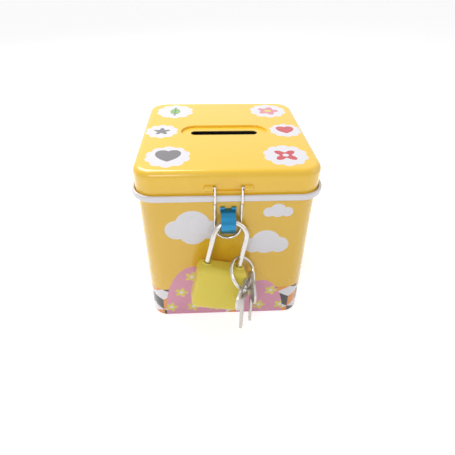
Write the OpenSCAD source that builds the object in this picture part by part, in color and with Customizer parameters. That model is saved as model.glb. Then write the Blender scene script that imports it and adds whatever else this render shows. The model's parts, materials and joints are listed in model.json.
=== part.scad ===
/* [Tin] */
// Width of the tin across its side walls
tin_w = 75; // [64:0.5:92]
// Depth of the tin from its front wall to its back wall
tin_d = 78; // [66:0.5:94]
// Height of the body to the top of its rolled rim
body_h = 73; // [60:0.5:90]
// Height of the lid's top above the body's rim
lid_rise = 10; // [9.5:0.1:13]
// Radius of the upright corners
corner_r = 8.2; // [6:0.1:12]
// Thickness of the tinplate
sheet_t = 0.4; // [0.3:0.05:0.5]
// Height of the rolled rim
rim_h = 2.8; // [2.3:0.1:3.4]
// Thickness of the rolled rim, from its inside to its outside
rim_t = 1.4; // [1.2:0.1:1.7]
// How far the lid's skirt stands out from the body's wall
lid_out = 0.8; // [0.7:0.05:1]
// Radius of the lid's rounded top edge
lid_edge_r = 2.7; // [2:0.1:3.3]
// Width of the body's turned-in hem under the base panel
hem_w = 2.5; // [2:0.1:3.5]

/* [Coin slot] */
// Length of the coin slot
slot_l = 31.4; // [26:0.1:38]
// Width of the coin slot
slot_w = 4.6; // [4.4:0.1:5.6]
// Length of the shallow recess round the slot
recess_l = 40.5; // [39:0.5:49]
// Width of the shallow recess round the slot
recess_w = 13.5; // [11:0.5:16.5]
// Depth of the shallow recess
recess_depth = 1; // [0.8:0.1:1.2]

/* [Hasp and staple] */
// Thickness of the hasp wire
hasp_wire_d = 1.1; // [0.9:0.1:1.4]
// Distance between the hasp's two legs, centre to centre
hasp_w = 10.9; // [9:0.1:13.1]
// Height of the hasp's pivot above the body's rim
pivot_rise = 3; // [2.8:0.1:3.6]
// Depth of the staple's centre below the body's rim
staple_drop = 13.8; // [12:0.1:16.6]
// Width of the staple's strip
staple_w = 6.2; // [5:0.1:7.4]
// Thickness of the staple's strip
staple_t = 0.7; // [0.5:0.1:0.9]
// Inner radius of the staple's arch
staple_r = 5.5; // [5:0.1:6.6]

/* [Hinge] */
// Width of the hinge
hinge_w = 24; // [20:0.5:30]
// Radius of the hinge's knuckles
knuckle_r = 1.3; // [1.1:0.05:1.6]
// Radius of the hinge pin
pin_r = 0.6; // [0.5:0.05:0.7]
// Thickness of the hinge's leaves
leaf_t = 0.6; // [0.5:0.05:0.7]
// Radius of the rivets' shanks
rivet_r = 0.9; // [0.7:0.1:1.1]

/* [Padlock] */
// Width of the padlock's body
lock_w = 21.5; // [19.5:0.5:26]
// Height of the padlock's body
lock_h = 20.5; // [18:0.5:26]
// Thickness of the padlock's body
lock_t = 10.4; // [9.6:0.1:13]
// Thickness of the padlock's plastic cover
cover_t = 0.9; // [0.7:0.1:1.1]
// Radius of the padlock's rounded edges
lock_r = 2.4; // [2:0.1:3]
// Thickness of the shackle
shackle_d = 2.3; // [2:0.1:2.7]
// Distance between the shackle's legs, centre to centre
shackle_w = 14.2; // [13.4:0.1:15]
// Height of the shackle's arch centre above the padlock's body
shackle_rise = 13.4; // [11:0.1:16]
// How far the padlock's body drops when it is unlocked
unlock_drop = 6; // [5:0.1:7]
// Radius of the key plug
plug_r = 3; // [2.6:0.1:3.4]

/* [Keys] */
// Outer diameter of the split ring
ring_d = 15.8; // [15:0.2:19]
// Thickness of the split ring's wire
ring_wire_d = 1.2; // [1:0.1:1.4]
// Width of a key's bow
bow_w = 15.6; // [13:0.2:18]
// Height of a key's bow
bow_h = 11; // [9.2:0.2:12.6]
// Length of a key's blade below its bow
blade_l = 17.5; // [14:0.5:20]
// Width of a key's blade
blade_w = 2.6; // [2.2:0.1:3.1]
// Thickness of a key
key_t = 1; // [0.8:0.1:1.2]

/* [Hidden] */
$fn = 48;
fit = 0.25;                       // running clearance between moving pieces
near = 0.1;                       // clearance between fixed pieces
top_z = body_h + lid_rise;
ledge_z = body_h - rim_h;         // underside of the ledge below the rim
rim_in = lid_out + fit;
rim_out = rim_in + rim_t;
front_y = -tin_d / 2;
back_y = tin_d / 2;
skirt_y = front_y - lid_out;      // outer face of the lid's front skirt
skirt_z = ledge_z + sheet_t + 0.3;
hasp_r = hasp_wire_d / 2;
hasp_x = hasp_w / 2;
pivot_y = skirt_y - 0.1;
pivot_z = body_h + pivot_rise;
pill_bore = hasp_r + 0.4;
pill_r = pill_bore + sheet_t;
pill_x0 = hasp_x + hasp_r + fit;
pill_l = 3.9;
arch_depth = 0.9;
arch_r = hasp_x + 2.2;
arch_z = pivot_z - 3.8;            // height of the arch's centre
arch_low_z = pivot_z - hasp_r - 1.1;
hasp_front_y = front_y - rim_out - hasp_r - fit;
hasp_back_y = front_y - hasp_r - 0.35;
staple_z = body_h - staple_drop;
staple_y = front_y + 0.6;
hasp_low_z = staple_z - staple_r - staple_t - 2.4;
hinge_y = back_y + rim_out + knuckle_r + 0.2;
hinge_z = body_h + 1.2;
knuckle_gap = 0.3;
mid_knuckle = hinge_w / 2 - 0.4;
rivet_x = hinge_w / 3;
body_rivet_z = body_h - 9;
lid_rivet_z = body_h + 5.8;
leaf_low_z = body_h - 13;
rivet_head = 0.7;
shackle_r = shackle_d / 2;
leg_x = shackle_w / 2;
lock_pos = [0.8, staple_y - 4.9, staple_z - 5.8];   // the shackle hangs in the staple's arch
lock_yaw = 5.4;
lock_lean = -12.3;
lock_roll = 14;
lock_top = -shackle_rise;
lock_low = lock_top - lock_h;
long_leg = shackle_rise + lock_h * 0.7;
short_leg = shackle_rise + unlock_drop;
bolt_top = lock_top - 1.2;
bolt_h = 1.6;
bolt_travel = 2;
bolt_bite = 0.7;
bolt_y = 2.3;
spring_room = bolt_travel + 2;     // from the bolt's tail to the end of its slot
spring_w = 3.4;
spring_wire = 0.25;
crank_r = bolt_travel / sqrt(2);
crank_pin_r = 0.5;
bolt_tip = leg_x - shackle_r + bolt_bite;
bolt_tail = crank_r / sqrt(2) - crank_pin_r - 1.2;
notch_in = bolt_tip + 0.15;
notch_run = bolt_bite + 0.2;
notch_out = leg_x - shackle_r - 1;
notch_low = bolt_top - bolt_h - near - notch_run * unlock_drop / bolt_travel;
nose_w = 2;
plug_l = 10;
stem_r = crank_r + crank_pin_r + 0.2;
cap_t = 1.2;
ring_r = (ring_d - ring_wire_d) / 2;
ring_pos = [lock_w / 2 - 1.8, 2.74 - lock_t / 2, lock_top - 1.46];
ring_turn = 42;
ring_tip = -42;
key_hole = [6.4, 5];
hole_wall = 1.3;
key_drop = bow_h / 2 - key_hole[1] / 2 - hole_wall;   // from the hole's centre to the bow's
key_hang = key_hole[1] / 2 - 1.6;                     // from the ring's wire to the hole's centre

// A rounded rectangle about the origin
module slab(w, d, r) {
  square([w - 2 * r, d], center = true);
  square([w, d - 2 * r], center = true);
  for (x = [-1, 1], y = [-1, 1])
    translate([x * (w / 2 - r), y * (d / 2 - r)])
      circle(r);
}

// Carries a profile round a rounded rectangle, x being the distance outward from its outline
module around(w, d, r) {
  for (i = [0:3]) {
    run = i % 2 == 0 ? d - 2 * r : w - 2 * r;
    off = i % 2 == 0 ? w / 2 : d / 2;
    rotate(90 * i) {
      translate([off, run / 2, 0])
        rotate([90, 0, 0])
          linear_extrude(run)
            children();
      translate([off - r, run / 2, 0])
        rotate_extrude(angle = 90)
          translate([r, 0])
            children();
    }
  }
}

// A flat shape drawn in x and z, thickened from y0 to y1
module upright(y0, y1) {
  translate([0, y1, 0])
    rotate([90, 0, 0])
      linear_extrude(y1 - y0)
        children();
}

// A round bar from p to q, with end balls a little fatter than the bar so that the two meet in a clean edge
module rod(p, q, r) {
  v = q - p;
  translate(p) {
    sphere(r + 0.02);
    rotate([0, acos(v[2] / norm(v)), atan2(v[1], v[0])])
      cylinder(r = r, h = norm(v));
  }
  translate(q)
    sphere(r + 0.02);
}

// A bar along X
module bar_x(x0, x1, y, z, r) {
  translate([x0, y, z])
    rotate([0, 90, 0])
      cylinder(r = r, h = x1 - x0);
}

// A bar along Y
module bar_y(y0, y1, x, z, r) {
  translate([x, y0, z])
    rotate([-90, 0, 0])
      cylinder(r = r, h = y1 - y0);
}

module stadium(l, w) {
  square([l - w, w], center = true);
  for (x = [-1, 1])
    translate([x * (l - w) / 2, 0])
      circle(w / 2);
}

module body_profile() {
  translate([-sheet_t, 0])
    square([sheet_t, ledge_z + sheet_t]);
  translate([-sheet_t, ledge_z])
    square([rim_in + sheet_t + rim_t / 2, sheet_t]);
  translate([-sheet_t - hem_w, 0])
    square([hem_w + sheet_t, sheet_t]);
  difference() {
    translate([rim_in + rim_t / 2, ledge_z + rim_h / 2])
      slab(rim_t, rim_h, rim_t / 2 - 0.05);
    translate([rim_in + rim_t / 2, ledge_z + rim_h / 2])
      slab(rim_t - 2 * sheet_t, rim_h - 2 * sheet_t, rim_t / 2 - sheet_t - 0.05);
  }
}

module body_shell() {
  color("gold")
    difference() {
      around(tin_w, tin_d, corner_r)
        body_profile();
      for (s = [-1, 1])
        translate([0, front_y, staple_z + s * (staple_r + staple_t / 2)])
          cube([staple_w + 2 * near, 4, staple_t + 2 * near], center = true);
      for (x = [-rivet_x, rivet_x])
        bar_y(back_y - 2, back_y + 1, x, body_rivet_z, rivet_r + near);
    }
}

module base_panel() {
  inner_w = tin_w - 2 * (sheet_t + near);
  inner_d = tin_d - 2 * (sheet_t + near);
  pad = 2 * (hem_w + near);
  color("silver")
    difference() {
      union() {
        translate([0, 0, sheet_t])
          linear_extrude(sheet_t)
            slab(inner_w, inner_d, corner_r - sheet_t - near);
        linear_extrude(sheet_t)
          slab(inner_w - pad, inner_d - pad, corner_r - sheet_t - pad / 2);
      }
      translate([0, 0, sheet_t])
        linear_extrude(2 * sheet_t)
          slab(inner_w - pad - 2 * sheet_t, inner_d - pad - 2 * sheet_t, corner_r - 2 * sheet_t - pad / 2);
    }
}

module lid_profile() {
  edge_z = top_z - lid_edge_r;
  translate([-sheet_t, skirt_z])
    square([sheet_t, edge_z - skirt_z]);
  translate([-lid_edge_r, edge_z])
    intersection() {
      difference() {
        circle(lid_edge_r);
        circle(lid_edge_r - sheet_t);
      }
      square(lid_edge_r);
    }
  translate([-lid_edge_r - 1, top_z - sheet_t])
    square([1, sheet_t]);
}

// The arched panel in x and z, grown outward by g
module arch_panel(g) {
  half = pill_x0 + g;
  intersection() {
    translate([-half, arch_low_z - g])
      square([2 * half, arch_r + 2 * g]);
    translate([0, arch_z])
      circle(arch_r + g);
  }
}

module pill(r) {
  intersection() {
    union() {
      bar_x(pill_x0, pill_x0 + pill_l - pill_r, pivot_y, pivot_z, r);
      translate([pill_x0 + pill_l - pill_r, pivot_y, pivot_z])
        sphere(r);
    }
    translate([pill_x0, skirt_y + sheet_t - 6, pivot_z - 5])
      cube([10, 6, 10]);
  }
}

module lid_shell() {
  color("gold")
    difference() {
      union() {
        difference() {
          union() {
            around(tin_w + 2 * lid_out, tin_d + 2 * lid_out, corner_r + lid_out)
              lid_profile();
            translate([0, 0, top_z - sheet_t])
              linear_extrude(sheet_t)
                slab(tin_w + 2 * lid_out - 2 * lid_edge_r - 1, tin_d + 2 * lid_out - 2 * lid_edge_r - 1,
                  corner_r + lid_out - lid_edge_r - 0.5);
          }
          translate([0, 0, top_z - 3])
            linear_extrude(4)
              stadium(recess_l, recess_w);
          upright(skirt_y - 1, skirt_y + 2)
            arch_panel(0);
        }
        difference() {
          translate([0, 0, top_z - recess_depth - sheet_t])
            linear_extrude(recess_depth + sheet_t)
              stadium(recess_l + 2 * sheet_t, recess_w + 2 * sheet_t);
          translate([0, 0, top_z - recess_depth])
            linear_extrude(3)
              stadium(recess_l, recess_w);
          translate([0, 0, top_z - recess_depth - 3])
            linear_extrude(6)
              stadium(slot_l, slot_w);
        }
        difference() {
          upright(skirt_y, skirt_y + arch_depth + sheet_t)
            arch_panel(sheet_t);
          upright(skirt_y - 1, skirt_y + arch_depth)
            arch_panel(0);
        }
        for (s = [0, 1])
          mirror([s, 0, 0])
            pill(pill_r);
      }
      for (s = [0, 1])
        mirror([s, 0, 0]) {
          bar_x(hasp_x, pill_x0 + pill_l - pill_r, pivot_y, pivot_z, pill_bore);
          translate([pill_x0 + pill_l - pill_r, pivot_y, pivot_z])
            sphere(pill_bore);
        }
      for (x = [-rivet_x, rivet_x])
        bar_y(back_y - 1, back_y + 3, x, lid_rivet_z, rivet_r + near);
    }
}

module staple() {
  ear_w = 1.9;
  tab_h = 3;
  inside_y = front_y + sheet_t + near;
  color("steelblue") {
    intersection() {
      difference() {
        bar_x(-staple_w / 2, staple_w / 2, staple_y, staple_z, staple_r + staple_t);
        bar_x(-staple_w, staple_w, staple_y, staple_z, staple_r);
      }
      translate([-10, front_y - 10, staple_z - 10])
        cube([20, 10 + staple_y - front_y + 0.1, 20]);
    }
    for (s = [-1, 1])
      translate([0, (inside_y + staple_t + staple_y) / 2, staple_z + s * (staple_r + staple_t / 2)])
        cube([staple_w, inside_y + staple_t - staple_y, staple_t], center = true);
    for (s = [-1, 1])
      translate([-staple_w / 2, inside_y, staple_z + s * (staple_r + tab_h / 2 + 0.1) - tab_h / 2])
        cube([staple_w, staple_t, tab_h]);
    for (x = [-staple_w / 2 - 0.2, staple_w / 2 + 0.2 - ear_w])
      translate([x, front_y - near - staple_t, staple_z + staple_r - 0.4])
        cube([ear_w, staple_t, 2.2]);
  }
}

module hasp_side(side) {
  x = side * hasp_x;
  bend_z = hasp_low_z + hasp_x;
  rod([x, pivot_y, pivot_z], [side * (pill_x0 + pill_l - pill_r), pivot_y, pivot_z], hasp_r);
  rod([x, pivot_y, pivot_z], [x, hasp_front_y, body_h + 0.1], hasp_r);
  rod([x, hasp_front_y, body_h + 0.1], [x, hasp_front_y, ledge_z + 0.2], hasp_r);
  rod([x, hasp_front_y, ledge_z + 0.2], [x, hasp_back_y, ledge_z - 1.8], hasp_r);
  rod([x, hasp_back_y, ledge_z - 1.8], [x, hasp_back_y, bend_z], hasp_r);
}

module hasp_wire() {
  color("silver") {
    hasp_side(-1);
    hasp_side(1);
    translate([0, hasp_back_y, hasp_low_z + hasp_x])
      rotate([90, 0, 0])
        rotate([0, 0, 180])
          rotate_extrude(angle = 180)
            translate([hasp_x, 0])
              circle(hasp_r);
  }
}

module hinge_leaf_body() {
  riser = hinge_y - knuckle_r;
  color("silver")
    difference() {
      union() {
        translate([-hinge_w / 2, back_y, leaf_low_z])
          cube([hinge_w, leaf_t, ledge_z - 0.3 - leaf_low_z]);
        translate([-hinge_w / 2, back_y, ledge_z - 0.3 - leaf_t])
          cube([hinge_w, riser + leaf_t - back_y, leaf_t]);
        for (x = [-hinge_w / 2, hinge_w / 2 - mid_knuckle / 2]) {
          translate([x, riser, ledge_z - 0.3 - leaf_t])
            cube([mid_knuckle / 2, leaf_t, hinge_z - ledge_z + 0.3 + leaf_t]);
          bar_x(x, x + mid_knuckle / 2, hinge_y, hinge_z, knuckle_r);
        }
      }
      bar_x(-hinge_w, hinge_w, hinge_y, hinge_z, pin_r + near);
      for (x = [-rivet_x, rivet_x])
        bar_y(back_y - 1, back_y + 1, x, body_rivet_z, rivet_r + near);
    }
}

module hinge_leaf_lid() {
  half = hinge_w / 2 - mid_knuckle / 2 - knuckle_gap;
  leaf_y = back_y + lid_out;
  color("silver")
    difference() {
      union() {
        translate([-hinge_w / 2, leaf_y, hinge_z + knuckle_r - leaf_t])
          cube([hinge_w, leaf_t, top_z - lid_edge_r - hinge_z - knuckle_r + leaf_t]);
        translate([-half, leaf_y, hinge_z + knuckle_r - leaf_t])
          cube([2 * half, hinge_y - leaf_y, leaf_t]);
        bar_x(-half, half, hinge_y, hinge_z, knuckle_r);
      }
      bar_x(-hinge_w, hinge_w, hinge_y, hinge_z, pin_r + near);
      for (x = [-rivet_x, rivet_x])
        bar_y(leaf_y - 1, leaf_y + 1, x, lid_rivet_z, rivet_r + near);
    }
}

module hinge_pin() {
  color("gray") {
    bar_x(-hinge_w / 2 - 0.2, hinge_w / 2 + 0.2, hinge_y, hinge_z, pin_r);
    for (x = [-hinge_w / 2 - 0.7, hinge_w / 2 + 0.1])
      bar_x(x, x + 0.6, hinge_y, hinge_z, pin_r + 0.4);
  }
}

module rivet(x, z, y) {
  bar_y(y - sheet_t, y + leaf_t, x, z, rivet_r);
  bar_y(y + leaf_t, y + leaf_t + rivet_head, x, z, rivet_r + 0.8);
  bar_y(y - sheet_t - rivet_head, y - sheet_t, x, z, rivet_r + 0.6);
}

module hinge_rivets_body() {
  color("gray")
    for (x = [-rivet_x, rivet_x])
      rivet(x, body_rivet_z, back_y);
}

module hinge_rivets_lid() {
  color("gray")
    for (x = [-rivet_x, rivet_x])
      rivet(x, lid_rivet_z, back_y + lid_out);
}

// Carries the padlock's pieces, which are drawn about the centre of its shackle's arch
module placed_lock() {
  translate(lock_pos)
    rotate([0, 0, lock_yaw])
      rotate([lock_lean, 0, 0])
        rotate([0, lock_roll, 0])
          children();
}

module shackle() {
  color("silver")
    placed_lock()
      difference() {
        union() {
          rotate([90, 0, 0])
            rotate_extrude(angle = 180)
              translate([leg_x, 0])
                circle(shackle_r);
          translate([-leg_x, 0, -long_leg])
            cylinder(r = shackle_r, h = long_leg);
          translate([leg_x, 0, -short_leg])
            cylinder(r = shackle_r, h = short_leg);
        }
        upright(-shackle_r - 1, shackle_r + 1)
          polygon([[notch_out, bolt_top + near], [notch_in, bolt_top + near],
            [notch_in, bolt_top - bolt_h - near], [notch_in - notch_run, notch_low], [notch_out, notch_low]]);
      }
}

module case_outline(g) {
  slab(lock_w - 2 * (cover_t + g), lock_t - 2 * (cover_t + g), lock_r - cover_t);
}

module leg_bores(r) {
  for (x = [-leg_x, leg_x])
    translate([x, 0, lock_low - 1])
      cylinder(r = r, h = lock_h + 2);
}

module lock_cover() {
  edge = cover_t;                 // the top edge is rounded by the cover's own thickness
  color("khaki")
    placed_lock()
      difference() {
        union() {
          translate([0, 0, lock_low + cap_t])
            linear_extrude(lock_h - cap_t - edge)
              slab(lock_w, lock_t, lock_r);
          translate([0, 0, lock_top - edge])
            around(lock_w - 2 * edge, lock_t - 2 * edge, lock_r - edge)
              translate([-0.5, 0])
                intersection() {
                  union() {
                    square([0.5, edge]);
                    translate([0.5, 0])
                      circle(edge);
                  }
                  square([0.5 + edge, edge]);
                }
          translate([0, 0, lock_top - edge])
            linear_extrude(edge)
              slab(lock_w - 2 * edge - 0.6, lock_t - 2 * edge - 0.6, lock_r - edge - 0.3);
        }
        translate([0, 0, lock_low])
          linear_extrude(lock_h - cover_t)
            case_outline(0);
        leg_bores(shackle_r + fit);
      }
}

module lock_case() {
  color("goldenrod")
    placed_lock()
      difference() {
        translate([0, 0, lock_low + cap_t + near])
          linear_extrude(lock_h - cover_t - cap_t - 2 * near)
            case_outline(near);
        leg_bores(shackle_r + fit);
        translate([0, 0, lock_low])
          cylinder(r = plug_r + fit, h = plug_l + fit);
        translate([0, 0, lock_low + plug_l])
          cylinder(r = stem_r + fit, h = bolt_top - bolt_h - lock_low - plug_l);
        translate([bolt_tail - spring_room, -bolt_y - fit, bolt_top - bolt_h - fit])
          cube([leg_x - bolt_tail + spring_room, 2 * (bolt_y + fit), bolt_h + 2 * fit]);
      }
}

module lock_base_cap() {
  color("khaki")
    placed_lock()
      difference() {
        translate([0, 0, lock_low])
          linear_extrude(cap_t)
            slab(lock_w - 0.6, lock_t - 0.6, lock_r - 0.3);
        translate([0, 0, lock_low - 1])
          cylinder(r = plug_r + fit, h = cap_t + 2);
      }
}

module latch_bolt() {
  pin_x = crank_r / sqrt(2);
  color("silver")
    placed_lock()
      difference() {
        translate([bolt_tail, -bolt_y, bolt_top - bolt_h])
          cube([bolt_tip - bolt_tail, 2 * bolt_y, bolt_h]);
        for (y = [nose_w / 2, -nose_w / 2 - bolt_y])
          translate([bolt_tip - 2.4, y, bolt_top - bolt_h - 1])
            cube([4, bolt_y, bolt_h + 2]);
        translate([pin_x - crank_pin_r - 0.25, -crank_r - crank_pin_r, bolt_top - bolt_h - 1])
          cube([2 * crank_pin_r + 0.5, 2 * (crank_r + crank_pin_r), 2]);
      }
}

// A bowed strip that fills its slot from the bolt's tail to the slot's end, open at the slot's end
module latch_spring() {
  l = spring_room - 2 * near;
  bow_r = spring_w / 2 - 0.05;
  color("gray")
    placed_lock()
      translate([bolt_tail - near - l, 0, bolt_top - bolt_h + 0.2])
        linear_extrude(bolt_h - 0.4)
          difference() {
            translate([l / 2, 0])
              slab(l, spring_w, bow_r);
            translate([l / 2, 0])
              slab(l - 2 * spring_wire, spring_w - 2 * spring_wire, bow_r - spring_wire);
            translate([-0.1, -0.6])
              square([l / 2, 1.2]);
          }
}

module key_plug() {
  color("goldenrod")
    placed_lock()
      difference() {
        translate([0, 0, lock_low])
          cylinder(r = plug_r, h = plug_l);
        translate([-blade_w / 2 - near, -key_t / 2 - near, lock_low - 1])
          cube([blade_w + 2 * near, key_t + 2 * near, plug_l]);
      }
}

module plug_cam() {
  color("silver")
    placed_lock() {
      translate([0, 0, lock_low + plug_l + 0.02])
        cylinder(r = stem_r, h = bolt_top - bolt_h - fit - lock_low - plug_l - 0.02);
      rotate(45)
        translate([crank_r, 0, bolt_top - bolt_h - fit - 0.1])
          cylinder(r = crank_pin_r, h = fit + 0.8);
    }
}

module placed_ring() {
  placed_lock()
    translate(ring_pos)
      rotate([0, 0, ring_turn])
        rotate([ring_tip, 0, 0])
          children();
}

module key_ring() {
  color("silver")
    placed_ring()
      rotate([90, 0, 0])
        rotate_extrude()
          translate([ring_r, 0])
            circle(ring_wire_d / 2);
}

// One key, drawn about its hole's centre, with its plane in x and z
module key_blank(cuts) {
  tip_z = -key_drop - bow_h / 2 - blade_l;
  upright(-key_t / 2, key_t / 2)
    difference() {
      union() {
        translate([0, -key_drop])
          stadium(bow_w, bow_h);
        polygon([[-0.4, tip_z], [0.4, tip_z], [blade_w / 2, tip_z + 1], [blade_w / 2, -key_drop],
          [-blade_w / 2, -key_drop], [-blade_w / 2, tip_z + 1]]);
      }
      stadium(key_hole[0], key_hole[1]);
      for (i = [0:len(cuts) - 1])
        translate([blade_w / 2, tip_z + 2.6 + i * 2.4])
          rotate(45)
            square(cuts[i], center = true);
    }
}

// A key that hangs upright on the ring, slipped round it from its lowest point, turned about Z
// and shifted sideways in its own plane
module placed_key(slip, turn, shift) {
  placed_ring()
    translate([-ring_r * sin(slip), 0, -ring_r * cos(slip)])
      rotate([-ring_tip, 0, 0])
        rotate([0, 0, -ring_turn])
          rotate([0, -lock_roll, 0])
            rotate([-lock_lean, 0, 0])
              rotate([0, 0, turn - lock_yaw])
                translate([shift, 0, -key_hang])
                  children();
}

module key_front() {
  color("silver")
    placed_key(30, 64, 0)
      key_blank([1.1, 0.8, 1.3, 0.9]);
}

module key_rear() {
  color("silver")
    placed_key(-30, 94, 1)
      key_blank([1.1, 0.8, 1.3, 0.9]);
}

body_shell();
base_panel();
lid_shell();
staple();
hasp_wire();
hinge_leaf_body();
hinge_leaf_lid();
hinge_pin();
hinge_rivets_body();
hinge_rivets_lid();
shackle();
lock_cover();
lock_case();
lock_base_cap();
latch_bolt();
latch_spring();
key_plug();
plug_cam();
key_ring();
key_front();
key_rear();
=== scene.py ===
import math
import json

import bmesh
import bpy
import numpy as np
from mathutils import Matrix, Vector


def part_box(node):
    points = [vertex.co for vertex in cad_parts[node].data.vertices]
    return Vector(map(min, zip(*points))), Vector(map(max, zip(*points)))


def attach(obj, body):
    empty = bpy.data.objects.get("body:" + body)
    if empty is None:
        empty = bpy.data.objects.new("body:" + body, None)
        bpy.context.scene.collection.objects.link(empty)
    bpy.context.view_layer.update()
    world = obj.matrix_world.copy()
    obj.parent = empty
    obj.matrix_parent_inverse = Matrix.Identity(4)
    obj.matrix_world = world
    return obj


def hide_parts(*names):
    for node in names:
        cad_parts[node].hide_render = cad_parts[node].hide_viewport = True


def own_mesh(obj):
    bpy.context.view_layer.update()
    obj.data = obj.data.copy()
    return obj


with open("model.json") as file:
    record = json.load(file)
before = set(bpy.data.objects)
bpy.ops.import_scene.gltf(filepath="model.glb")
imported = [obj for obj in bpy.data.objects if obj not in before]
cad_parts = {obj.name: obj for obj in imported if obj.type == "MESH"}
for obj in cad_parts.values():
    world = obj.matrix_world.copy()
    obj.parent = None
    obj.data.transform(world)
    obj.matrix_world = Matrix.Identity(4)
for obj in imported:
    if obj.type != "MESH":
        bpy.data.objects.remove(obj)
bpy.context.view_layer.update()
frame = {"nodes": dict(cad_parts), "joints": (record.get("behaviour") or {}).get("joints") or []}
nodes = frame["nodes"]
joints = {joint["name"]: joint for joint in frame["joints"]}
print("frame loaded:", len(nodes), "nodes")

mm = 0.001
leafLow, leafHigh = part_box("hinge_leaf_body")
bodyLow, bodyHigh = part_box("body_shell")
lidLow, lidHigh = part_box("lid_shell")
halfDepth = leafLow.y                        # the hinge leaf lies on the back wall
rimOut = bodyHigh.y - halfDepth
halfWidth = bodyHigh.x - rimOut
rimTop = bodyHigh.z
lidTop = lidHigh.z
tin = dict(cornerR=8.2, rimTall=2.8, lidOut=0.8, lidEdgeR=2.7, recessLong=40.5, recessWide=13.5, recessDeep=1,
           skin=0.2)                         # the print ends half a sheet deep


def paint(red, green, blue):                 # a display colour, 0 to 255, as linear values
    return tuple(c / 12.92 if c <= 0.04045 else ((c + 0.055) / 1.055) ** 2.4
                 for c in (red / 255, green / 255, blue / 255)) + (1.0,)


class Sock:                                  # a number socket that adds its own Math nodes
    def __init__(self, graph, socket):
        self.graph = graph
        self.socket = socket

    def math(self, operation, *others):
        node = self.graph.node("ShaderNodeMath", dict(operation=operation), [self, *others])
        return Sock(self.graph, node.outputs[0])

    def __add__(self, other):
        return self.math("ADD", other)
    __radd__ = __add__

    def __mul__(self, other):
        return self.math("MULTIPLY", other)
    __rmul__ = __mul__
    __and__ = __mul__

    def __sub__(self, other):
        return self.math("SUBTRACT", other)

    def __rsub__(self, other):
        return (self * -1) + other

    def __truediv__(self, other):
        return self.math("DIVIDE", other)

    def __pow__(self, other):
        return self.math("POWER", other)

    def __mod__(self, other):
        return self.math("FLOORED_MODULO", other)

    def __abs__(self):
        return self.math("ABSOLUTE")

    def __lt__(self, other):
        return self.math("LESS_THAN", other)

    def __gt__(self, other):
        return self.math("GREATER_THAN", other)

    def __or__(self, other):
        return self.math("MAXIMUM", other)

    def __invert__(self):
        return 1 - self

    def atMost(self, other):
        return self.math("MINIMUM", other)

    def atLeast(self, other):
        return self.math("MAXIMUM", other)


def length(a, b):
    return (a * a + b * b) ** 0.5


def anyOf(masks):                            # 1 where any of the masks is 1
    total = masks[0]
    for mask in masks[1:]:
        total = total | mask
    return total


class Graph:                                 # a new material's nodes, or those of the tree that is given
    def __init__(self, name, tree=None):
        self.coords = None
        self.tree = tree
        if tree is None:
            self.material = bpy.data.materials.new(name)
            self.material.use_nodes = True
            self.tree = self.material.node_tree
            self.shader = self.tree.nodes["Principled BSDF"]

    def node(self, kind, settings=None, inputs=None):
        made = self.tree.nodes.new(kind)
        for key, value in (settings or {}).items():
            setattr(made, key, value)
        pairs = inputs.items() if isinstance(inputs, dict) else enumerate(inputs or [])
        for key, value in pairs:
            self.feed(made.inputs[key], value)
        return made

    def feed(self, socket, value):
        value = value.socket if isinstance(value, Sock) else value
        if isinstance(value, bpy.types.NodeSocket):
            self.tree.links.new(value, socket)
        else:
            socket.default_value = value

    def position(self):                      # the place on the object, in millimetres
        self.coords = self.node("ShaderNodeTexCoord").outputs["Object"]
        scaled = self.node("ShaderNodeVectorMath", dict(operation="SCALE"), {0: self.coords, "Scale": 1000})
        parts = self.node("ShaderNodeSeparateXYZ", None, [scaled.outputs[0]])
        return [Sock(self, out) for out in parts.outputs]

    def blend(self, mask, under, over):      # over where mask is 1
        mix = self.node("ShaderNodeMix", dict(data_type="RGBA"), {0: mask, 6: under, 7: over})
        return mix.outputs[2]

    def noise(self, scale, detail=3.0, roughness=0.5, stretch=None):
        coords = self.coords or self.node("ShaderNodeTexCoord").outputs["Object"]
        if stretch:
            coords = self.node("ShaderNodeMapping", None, {"Vector": coords, "Scale": stretch}).outputs[0]
        made = self.node("ShaderNodeTexNoise", None,
                         {"Vector": coords, "Scale": scale, "Detail": detail, "Roughness": roughness})
        return Sock(self, made.outputs["Fac"])

    def bump(self, height, distance, strength=1.0):
        made = self.node("ShaderNodeBump", None, {"Height": height, "Distance": distance, "Strength": strength})
        self.feed(self.shader.inputs["Normal"], made.outputs[0])

    def seen(self):                          # 1 for what the camera sees, straight or reflected
        path = self.node("ShaderNodeLightPath")
        kinds = ("Is Camera Ray", "Is Glossy Ray", "Is Transmission Ray")
        return anyOf([Sock(self, path.outputs[kind]) for kind in kinds])

    def surface(self, **values):
        for key, value in values.items():
            self.feed(self.shader.inputs[key.replace("_", " ")], value)
        return self.material


def edgeDistance(x, y, grow=0.0):            # distance outward from the tin's wall, round its corners
    r = tin["cornerR"] + grow
    dx = (abs(x) - (halfWidth / mm + grow - r)).atLeast(0)
    dy = (abs(y) - (halfDepth / mm + grow - r)).atLeast(0)
    return length(dx, dy) - r


def disc(x, y, cx, cy, r):
    return length(x - cx, y - cy) < r


# the lid's yellow is the body's yellow painted lighter: painted light from above, a lit copy of the one tin yellow
ink = dict(yellow=paint(236, 190, 50), lidYellowPaintedLight=paint(252, 204, 52), white=paint(232, 230, 236),
           pink=paint(222, 150, 178), dot=paint(226, 208, 84), orange=paint(238, 150, 52),
           black=paint(44, 38, 40), bare=paint(196, 194, 190), red=paint(206, 58, 70),
           green=paint(128, 184, 88), grey=paint(120, 116, 122), rose=paint(226, 132, 150))


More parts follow.
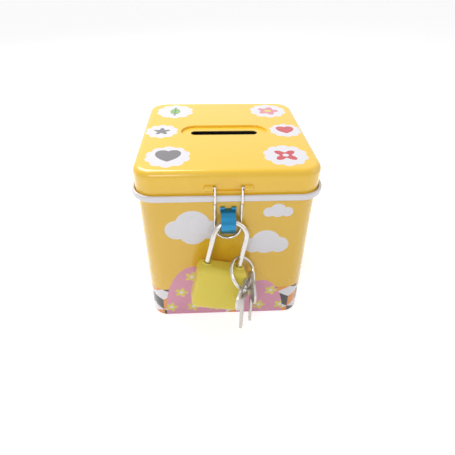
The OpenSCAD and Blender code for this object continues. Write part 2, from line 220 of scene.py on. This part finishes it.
def tumblingBlocks(g, u, v, cell):           # the nearest centre of a hexagon grid, then three sides by angle
    tall = cell * math.sqrt(3)
    ax, ay = (u % cell) - cell / 2, (v % tall) - tall / 2
    bx, by = ((u + cell / 2) % cell) - cell / 2, ((v + tall / 2) % tall) - tall / 2
    first = length(ax, ay) < length(bx, by)
    px = ax * first + bx * (1 - first)
    py = ay * first + by * (1 - first)
    angle = py.math("ARCTAN2", px)
    top = (angle > math.pi / 6) & (angle < 5 * math.pi / 6)
    left = (px < 0) & ~top
    return g.blend(top, g.blend(left, ink["orange"], ink["black"]), ink["white"])


def glossyTin(g, color, bareMask):
    fine = g.noise(420, 4, 0.6)
    wide = g.noise(35, 2)
    color = g.blend(bareMask, color, ink["bare"])
    g.bump(fine * 0.35 + wide, 0.00018, 0.25)
    return g.surface(Base_Color=color, Roughness=0.2 + wide * 0.12 + bareMask * 0.12, Metallic=bareMask * 0.85,
                     Coat_Weight=0.6, Coat_Roughness=0.05)


bodyPrint = dict(hills=[(-15, 2, 15, 31), (17, -2, 12, 25)], flowerGap=(11, 10.5), flowerR=2.6, cell=12.5,
                 blockTall=18,
                 clouds=[(-15, 57, 7.5), (-22, 54.5, 5), (-8.5, 54.5, 5), (-15, 52.5, 6), (17, 47, 6.5),
                         (23, 45.2, 4.4), (11.6, 45.2, 4.2), (21, 64, 3.4), (25, 63.2, 2.4), (17.2, 63.2, 2.4)])


def bodyMaterial():
    g = Graph("printedBody")
    x, y, z = g.position()
    p = bodyPrint
    out = edgeDistance(x, y)
    front = y < -(halfDepth / mm - 6)
    side = (abs(x) / (halfWidth / mm)) > (abs(y) / (halfDepth / mm))
    along = y * side + x * (1 - side)
    color = g.blend(z < p["blockTall"], ink["yellow"], tumblingBlocks(g, along, z, p["cell"]))
    clouds = anyOf([disc(x, z, *one) for one in p["clouds"]])
    color = g.blend(clouds & front, color, ink["white"])
    gapX, gapZ = p["flowerGap"]
    row = (z / gapZ).math("FLOOR") % 2
    flowerX = ((x + row * (gapX / 2)) % gapX) - gapX / 2
    flowerZ = (z % gapZ) - gapZ / 2
    meadow = g.blend(petals(flowerX, flowerZ, p["flowerR"], 0.7, 5), ink["pink"], ink["dot"])
    meadow = g.blend(length(flowerX, flowerZ) < 0.9, meadow, ink["white"])
    hills = anyOf([length((x - cx) / wide, (z - cz) / tall) < 1 for cx, cz, wide, tall in p["hills"]])
    color = g.blend(hills & front, color, meadow)
    rim = (z > rimTop / mm - tin["rimTall"] - 0.15) & (out > -0.3)
    color = g.blend(rim, color, ink["white"])
    inside = (out < -0.2) | ((z < 0.39) & (out < -0.1))
    return glossyTin(g, color, inside)


def heart(x, y):
    return (((x * x + y * y - 1) ** 3) - x * x * (y * y * y)) < 0


def petals(x, y, base, swing, count, turn=0.0):
    angle = y.math("ARCTAN2", x)
    return length(x, y) < ((angle + turn) * count).math("COSINE") * swing + base


def leaf(x, y):
    return disc(x, y, -0.62, 0, 1.12) & disc(x, y, 0.62, 0, 1.12)


rosettes = [dict(at=(-24.5, 26), r=8.4, motif="leaf"), dict(at=(24.5, 26), r=8.4, motif="flower"),
            dict(at=(-29.2, 0), r=6.6, motif="star"), dict(at=(29.2, 0), r=6.6, motif="heartRed"),
            dict(at=(-24.5, -26), r=8.4, motif="heart"), dict(at=(24.5, -26), r=8.4, motif="clover")]


def lidMaterial():
    g = Graph("printedLid")
    x, y, z = g.position()
    onTop = z > lidTop / mm - tin["skin"]
    # the lid's ground is the tin's yellow with painted light from above
    color = ink["lidYellowPaintedLight"]
    for one in rosettes:
        dx, dy = x - one["at"][0], y - one["at"][1]
        angle = dy.math("ARCTAN2", dx)
        edge = one["r"] + abs((angle * 5).math("SINE")) * 1.1
        color = g.blend((length(dx, dy) < edge) & onTop, color, ink["white"])
        u, v = dx / (one["r"] * 0.62), dy / (one["r"] * 0.62)
        if one["motif"] == "leaf":
            color = g.blend(leaf(u, v) & onTop, color, ink["green"])
            color = g.blend((abs(u) < 0.06) & (abs(v) < 1.2) & onTop, color, ink["grey"])
        elif one["motif"] == "flower":
            color = g.blend(petals(u, v, 0.9, 0.2, 5) & onTop, color, ink["rose"])
            color = g.blend((length(u, v) < 0.34) & onTop, color, ink["dot"])
        elif one["motif"] == "star":
            color = g.blend(petals(u, v, 0.72, 0.24, 5, -math.pi / 2) & onTop, color, ink["grey"])
        elif one["motif"] == "clover":
            color = g.blend(petals(u, v, 0.78, 0.3, 4, math.pi / 4) & onTop, color, ink["red"])
            color = g.blend((length(u, v) < 0.25) & onTop, color, ink["white"])
        else:
            tone = ink["red"] if one["motif"] == "heartRed" else ink["grey"]
            color = g.blend(heart(u * 1.1, v * 1.1) & onTop, color, tone)
    out = edgeDistance(x, y, tin["lidOut"])
    edgeR = tin["lidEdgeR"]                  # below the outer skin of skirt, rounded edge and top alike
    below = length((out + edgeR).atLeast(0), (z - (lidTop / mm - edgeR)).atLeast(0)) < edgeR - tin["skin"]
    endX = (abs(x) - (tin["recessLong"] - tin["recessWide"]) / 2).atLeast(0)
    recess = (length(endX, y) < tin["recessWide"] / 2 + 0.05) & (z > lidTop / mm - tin["recessDeep"] - tin["skin"])
    panel = (abs(x) < 8) & (y < -(halfDepth / mm - 0.3))
    inside = below & ~recess & ~panel
    return glossyTin(g, color, inside)


def metal(name, tone, rough, grain=0.0, scratch=0.3, metallic=1.0):
    g = Graph(name)
    g.position()
    wear = g.noise(160, 4)
    lines = g.noise(900, 2, 0.6, (1, 1, 0.08))
    color = g.blend(wear * 0.35, tone, tuple(c * 0.72 for c in tone[:3]) + (1.0,))
    g.bump(lines * grain + wear * scratch, 0.00008, 0.3)
    return g.surface(Base_Color=color, Roughness=rough + wear * 0.12, Metallic=metallic)


def staplePaint():
    g = Graph("blueStrip")
    x, y, z = g.position()
    wear = g.noise(220, 4)
    worn = (wear > 0.66) * 0.6
    color = g.blend(worn, paint(16, 128, 176), paint(120, 158, 176))
    g.bump(wear, 0.00006, 0.3)
    return g.surface(Base_Color=color, Roughness=0.2 + wear * 0.1, Metallic=0.8, Coat_Weight=0.5, Coat_Roughness=0.08)


def lockPlastic():
    g = Graph("yellowCover")
    g.position()
    fine = g.noise(700, 3)
    wide = g.noise(60, 2)
    color = g.blend(wide * 0.5, paint(238, 218, 84), paint(228, 206, 76))
    g.bump(fine * 0.4 + wide, 0.00025, 0.3)
    g.shader.inputs["Subsurface Weight"].default_value = 0.08
    g.shader.inputs["Subsurface Scale"].default_value = 0.002
    return g.surface(Base_Color=color, Roughness=0.3 + wide * 0.12)


def dress(material, *names):
    for name in names:
        slots = nodes[name].data.materials
        slots.clear()
        slots.append(material)


chrome = metal("brightWire", paint(214, 210, 204), 0.12)
plate = metal("bareTin", paint(176, 175, 172), 0.3, 0.6)
keySteel = metal("keySteel", paint(204, 202, 197), 0.26, 0.9, 0.5)
brass = metal("brass", paint(190, 156, 92), 0.3, 0.5)
plastic = lockPlastic()
dress(bodyMaterial(), "body_shell")
dress(lidMaterial(), "lid_shell")
dress(staplePaint(), "staple")
dress(chrome, "hasp_wire", "shackle", "hinge_pin", "latch_spring")
dress(plate, "base_panel", "hinge_leaf_body", "hinge_leaf_lid", "hinge_rivets_body", "hinge_rivets_lid", "latch_bolt")
dress(brass, "lock_case", "key_plug", "plug_cam")
dress(keySteel, "key_front", "key_rear")
print("materials on the frame's nodes")


def gridMesh(name, points, closeU, closeV, caps=False):
    rows, cols = points.shape[:2]
    i, j = np.meshgrid(np.arange(rows if closeU else rows - 1), np.arange(cols if closeV else cols - 1), indexing="ij")
    i2, j2 = (i + 1) % rows, (j + 1) % cols
    faces = np.stack([i * cols + j, i2 * cols + j, i2 * cols + j2, i * cols + j2], -1).reshape(-1, 4).tolist()
    if caps:                                 # closes a tube at its first and last rings
        faces.append(list(range(cols)))
        faces.append([(rows - 1) * cols + k for k in reversed(range(cols))])
    mesh = bpy.data.meshes.new(name)
    mesh.from_pydata(points.reshape(-1, 3).tolist(), [], faces)
    mesh.validate()
    piece = bpy.data.objects.new(name, mesh)
    bpy.context.scene.collection.objects.link(piece)
    return piece


def finishMesh(piece, material):             # doubles merged, faces outward, smooth
    work = bmesh.new()
    work.from_mesh(piece.data)
    bmesh.ops.remove_doubles(work, verts=work.verts, dist=1e-7)
    bmesh.ops.recalc_face_normals(work, faces=work.faces)
    work.to_mesh(piece.data)
    work.free()
    piece.data.shade_smooth()
    piece.data.set_sharp_from_angle(angle=math.radians(50))
    piece.data.materials.append(material)
    return piece


def lockAxes():                              # the padlock's own directions, from its joints
    up = -Vector(joints["case_drop"]["axis"])
    right = -Vector(joints["latch_slide"]["axis"])
    return np.array([right, up.cross(right), up])


lock = dict(wide=21.5, tall=20.5, thick=10.4, edge=2.7, crown=0.35, steps=8, wallRows=7, boreR=3.25, boreDeep=10.3,
            legSpread=7.1)


def lockSkin():
    # a rounded box: a sphere's unit normals n, each point at sign(n) * (half - r) + r * n, with crowned faces
    half = np.array([lock["wide"], lock["thick"], lock["tall"]]) / 2
    r = lock["edge"]
    quarter = np.linspace(0, math.pi / 2, lock["steps"])
    turn = np.concatenate([quarter + k * math.pi / 2 for k in range(4)])
    signX = np.repeat([1, -1, -1, 1], lock["steps"])
    signY = np.repeat([1, 1, -1, -1], lock["steps"])
    fill = np.linspace(0, 1, lock["wallRows"] + 2)[1:-1]
    tilt = np.concatenate([quarter - math.pi / 2, quarter])
    signZ = np.repeat([-1, 1], lock["steps"])
    n = np.stack([np.cos(tilt)[:, None] * np.cos(turn), np.cos(tilt)[:, None] * np.sin(turn),
                  np.sin(tilt)[:, None] * np.ones_like(turn)], -1)
    sign = np.stack([np.broadcast_to(signX, n.shape[:2]), np.broadcast_to(signY, n.shape[:2]),
                     np.broadcast_to(signZ[:, None], n.shape[:2])], -1)
    points = sign * (half - r) + r * n
    waist = lock["steps"]
    rows = [points[:waist]]
    rows += [points[waist - 1][None] * (1 - t) + points[waist][None] * t for t in fill]
    rows.append(points[waist:])
    points = np.concatenate(rows)
    bulge = 1 + lock["crown"] / half[1] * np.clip(1 - (points[..., 2] / half[2]) ** 2, 0, 1)
    points[..., 1] *= bulge
    bore = np.stack([np.cos(turn), np.sin(turn), np.zeros_like(turn)], -1) * lock["boreR"]
    mouth = bore - [0, 0, half[2]]
    points = np.concatenate([[mouth + [0, 0, lock["boreDeep"]], mouth], points])
    axes = lockAxes()
    low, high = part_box("lock_cover")
    capLow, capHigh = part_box("lock_base_cap")
    middle = np.array((Vector(np.minimum(low, capLow)) + Vector(np.maximum(high, capHigh))) / 2)
    placed = points @ axes * mm + middle
    piece = gridMesh("lockSkin", placed, False, True, caps=True)
    return finishMesh(piece, plastic), middle, axes


def sweepTube(name, path, radius, material, sides=12, caps=True):
    # a circle carried along the path, its first direction kept square to the path
    step = np.gradient(path, axis=0)
    step /= np.linalg.norm(step, axis=1, keepdims=True)
    side = np.cross(step, np.array([0.31, 0.23, 0.92]))
    side /= np.linalg.norm(side, axis=1, keepdims=True)
    other = np.cross(step, side)
    a = np.linspace(0, 2 * math.pi, sides, endpoint=False)
    ring = np.cos(a)[None, :, None] * side[:, None] + np.sin(a)[None, :, None] * other[:, None]
    points = path[:, None] + ring * np.asarray(radius).reshape(-1, 1, 1)
    return finishMesh(gridMesh(name, points, False, True, caps), material)


splitRing = dict(turns=1.93, wire=0.55, spread=0.5, steps=150)


def ringPiece():
    # a helix of nearly two turns about the ring's own axis, its ends stepped apart
    mesh = nodes["key_ring"].data
    raw = np.empty(len(mesh.vertices) * 3)
    mesh.vertices.foreach_get("co", raw)
    raw = raw.reshape(-1, 3)
    middle = (raw.min(0) + raw.max(0)) / 2
    flat = np.linalg.svd(raw - middle, full_matrices=False)[2]
    around = np.linalg.norm(raw - middle, axis=1)
    mean = (around.max() + around.min()) / 2
    t = np.linspace(0, 1, splitRing["steps"])
    angle = t * splitRing["turns"] * 2 * math.pi
    lift = (t - 0.5) * 2 * splitRing["spread"] * mm
    path = (middle + mean * (np.cos(angle)[:, None] * flat[0] + np.sin(angle)[:, None] * flat[1])
            + lift[:, None] * flat[2])
    return sweepTube("splitRing", path, splitRing["wire"] * mm, chrome, 12)


seam = dict(wide=5.0, proud=0.28, low=0.6, gap=1.0, steps=13)


def backSeam():
    # the lap seam: a flat ridge with soft shoulders, its height falling off with the fourth power
    t = np.linspace(-1, 1, seam["steps"])
    height = seam["proud"] * (1 - np.abs(t) ** 4) * mm
    levels = np.linspace(seam["low"] * mm, leafLow.z - seam["gap"] * mm, 6)
    points = np.empty((len(levels), len(t) * 2, 3))
    points[..., 2] = levels[:, None]
    points[:, :len(t), 0] = t * seam["wide"] / 2 * mm
    points[:, :len(t), 1] = halfDepth + height
    points[:, len(t):, 0] = t[::-1] * seam["wide"] / 2 * mm
    points[:, len(t):, 1] = halfDepth - 0.1 * mm
    return finishMesh(gridMesh("backSeam", points, False, True, caps=True), nodes["body_shell"].data.materials[0])


collar = dict(inner=1.3, outer=2.3, tall=0.55, sides=32)


def legCollar(name, at, axes):
    # a soft lip turned about the leg: a half circle profile between its inner and outer radius
    a = np.linspace(0, math.pi, 9)
    middle, half = (collar["outer"] + collar["inner"]) / 2, (collar["outer"] - collar["inner"]) / 2
    profileR = np.concatenate([middle + half * np.cos(a), [collar["inner"], collar["outer"]]])
    profileZ = np.concatenate([collar["tall"] * np.sin(a), [-0.6, -0.6]])
    turn = np.linspace(0, 2 * math.pi, collar["sides"], endpoint=False)
    local = np.stack([np.cos(turn)[:, None] * profileR, np.sin(turn)[:, None] * profileR,
                      np.broadcast_to(profileZ, (len(turn), len(profileZ)))], -1)
    return finishMesh(gridMesh(name, local @ axes * mm + at, True, True), plastic)


def bowSpring():
    # the latch spring's own shape, copied and carried with the lock
    piece = bpy.data.objects.new("bowSpring", nodes["latch_spring"].data.copy())
    bpy.context.scene.collection.objects.link(piece)
    piece.data.materials.clear()
    finishMesh(piece, chrome)
    raw = np.empty(len(piece.data.vertices) * 3)
    piece.data.vertices.foreach_get("co", raw)
    raw = raw.reshape(-1, 3)
    axis = np.array(joints["latch_slide"]["axis"])
    along = raw @ axis
    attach(piece, "lock")
    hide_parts("latch_spring")
    tuple(raw[along.argmax()])
    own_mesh(piece)


skin, lockMiddle, lockDirections = lockSkin()
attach(skin, "lock")
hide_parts("lock_cover", "lock_base_cap")
for tag, side in (("left", -1), ("right", 1)):
    spot = lockMiddle + (np.array([side * lock["legSpread"], 0, lock["tall"] / 2]) @ lockDirections) * mm
    lip = legCollar(tag + "Collar", spot, lockDirections)
    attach(lip, "lock")
ring = ringPiece()
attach(ring, "ring")
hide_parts("key_ring")
ridge = backSeam()
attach(ridge, "tin")
bowSpring()
print("new pieces made")


view = dict(aim=(0, 0, 0.0375), azimuth=-3.05, elevation=35.19, roll=0.7, distance=0.1978, lens=28.72,
            shift=(0.0097, -0.0398))


def makeCamera():
    az, el, roll = (math.radians(view[key]) for key in ("azimuth", "elevation", "roll"))
    back = Vector((math.sin(az) * math.cos(el), -math.cos(az) * math.cos(el), math.sin(el)))
    right = Vector((math.cos(az), math.sin(az), 0))
    up = back.cross(right)
    turnedRight = right * math.cos(roll) + up * math.sin(roll)
    turnedUp = up * math.cos(roll) - right * math.sin(roll)
    data = bpy.data.cameras.new("camera")
    data.lens = view["lens"]
    data.sensor_width = 36
    data.shift_x, data.shift_y = view["shift"]
    data.clip_start = 0.005
    camera = bpy.data.objects.new("camera", data)
    bpy.context.scene.collection.objects.link(camera)
    turn = Matrix((turnedRight, turnedUp, back)).transposed().to_4x4()
    camera.matrix_world = Matrix.Translation(Vector(view["aim"]) + back * view["distance"]) @ turn
    bpy.context.scene.camera = camera


lamps = [dict(name="topLamp", at=(-0.16, 0.2, 0.42), size=0.24, power=1.5),
         dict(name="frontLamp", at=(-0.15, -0.45, 0.35), size=0.2, power=0.6),
         dict(name="sideLamp", at=(0.5, -0.1, 0.3), size=0.4, power=0.35)]


def makeLamps():
    for one in lamps:
        data = bpy.data.lights.new(one["name"], "AREA")
        data.energy = one["power"]
        data.size = one["size"]
        lamp = bpy.data.objects.new(one["name"], data)
        bpy.context.scene.collection.objects.link(lamp)
        lamp.location = one["at"]
        lamp.rotation_euler = (Vector((0, 0, 0.04)) - lamp.location).to_track_quat("-Z", "Y").to_euler()


def makeFloor():
    half = 3.0
    g = Graph("floorPaper")
    g.surface(Base_Color=(0.92, 0.92, 0.92, 1), Roughness=0.9)
    g.shader.inputs["Specular IOR Level"].default_value = 0.1
    g.feed(g.shader.inputs["Emission Color"], (1, 1, 1, 1))
    g.feed(g.shader.inputs["Emission Strength"], g.seen() * 0.55)
    t = np.linspace(-half, half, 3)
    xs, ys = np.meshgrid(t, t, indexing="ij")
    floor = gridMesh("floor", np.stack([xs, ys, np.zeros_like(xs) - 0.0001], -1), False, False)
    floor.data.materials.append(g.material)


worldLight = dict(onObject=0.42, seen=0.5)   # a background of 0.92 behind a plain fill light


def makeWorld():
    world = bpy.data.worlds.new("studio")
    world.use_nodes = True
    background = world.node_tree.nodes["Background"]
    g = Graph("studio", world.node_tree)
    g.feed(background.inputs[0], (1, 1, 1, 1))
    g.feed(background.inputs[1], g.seen() * worldLight["seen"] + worldLight["onObject"])
    bpy.context.scene.world = world


makeCamera()
makeLamps()
makeFloor()
makeWorld()
bpy.context.scene.view_settings.view_transform = "Standard"
print("studio ready")
